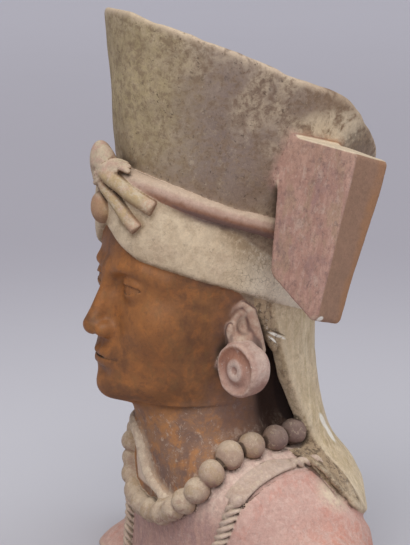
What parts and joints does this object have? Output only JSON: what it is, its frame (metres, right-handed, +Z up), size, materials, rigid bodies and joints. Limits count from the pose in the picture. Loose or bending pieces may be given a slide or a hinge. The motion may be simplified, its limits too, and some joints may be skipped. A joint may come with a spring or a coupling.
{
  "type": "terracotta deity statue bust",
  "caption": "Fired-clay bust of a standing figure's head and shoulders, with a tall open hat, tied roll, side wings, ear spools, bead string and a veil down the back.",
  "frame": {"origin": "on the flat cut underside, under the axis of the neck", "axes": "+Z up, the figure looks along -Y, its left side is +X"},
  "size_m": [0.3546, 0.2284, 0.4511],
  "materials": {
    "painted_terracotta": "unglazed fired clay, burnished orange-brown on the face and neck, worn cream and pink slip on cloth and hat, dark specks and soil in the hollows"
  },
  "bodies": {
    "root": {"deity_bust": "painted_terracotta"}
  },
  "joints": []
}
